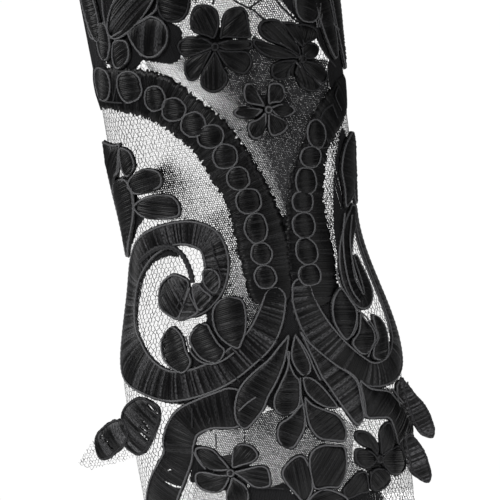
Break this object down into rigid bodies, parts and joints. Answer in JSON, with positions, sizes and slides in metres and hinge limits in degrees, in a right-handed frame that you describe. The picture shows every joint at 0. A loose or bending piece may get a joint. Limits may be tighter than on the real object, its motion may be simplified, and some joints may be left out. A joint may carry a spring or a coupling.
{
  "type": "evening mitten",
  "caption": "Fingerless evening mitten: a tube of fine net, narrow at the wrist, with raised corded lace scrolls, flowers and leaves on its front and a scalloped hand edge.",
  "frame": {"origin": "middle of the wrist, where the mitten is narrowest, on the sleeve's axis", "axes": "+Z along the arm towards the elbow end, -Z to the hand end, -Y towards the lace front over the back of the hand, +X to the right of the lace seen from the front"},
  "size_m": [0.0928, 0.059, 0.16],
  "materials": {
    "net": "fine black net, see-through",
    "satin": "dense black satin stitch with a soft sheen along the thread",
    "cord": "twisted black cord, a little glossy"
  },
  "bodies": {
    "root": {"arm_drop": "satin", "arm_flower_left": "satin", "arm_flower_right": "satin", "arm_leaf_satin": "satin", "arm_leaf_tall": "satin", "arm_petal_right": "satin", "arm_petal_round": "satin", "band_low_left": "satin", "bud_low": "satin", "bud_middle": "satin", "bud_round": "satin", "drop_left": "satin", "drop_low_left": "satin", "drop_low_right": "satin", "drop_right": "satin", "drop_upper": "satin", "edge_leaf_lower": "satin", "edge_leaf_scroll": "satin", "edge_leaf_upper": "satin", "free_leaf_lower": "satin", "free_leaf_upper": "satin", "hem_edging": "cord", "hem_flower_left": "satin", "hem_flower_middle": "satin", "hem_flower_right": "satin", "hook_right": "satin", "leaf_hem_outer": "satin", "leaf_hem_right": "satin", "leaf_left": "satin", "leaf_long": "satin", "left_flower": "satin", "left_petal_edge": "satin", "left_petal_upper": "satin", "left_stem_leaf": "satin", "lobe_inner": "satin", "lobe_outer": "satin", "net_sleeve": "net", "right_bud_low": "satin", "right_bud_middle": "satin", "right_oval": "satin", "right_strip": "satin", "right_strip_outer": "satin", "scroll_left": "satin", "scroll_right": "satin", "side_frill": "net", "side_leaf_outer": "satin", "side_leaf_upper": "satin", "small_flower": "satin", "top_band": "cord", "volute_left": "satin", "volute_right": "satin"}
  },
  "joints": []
}
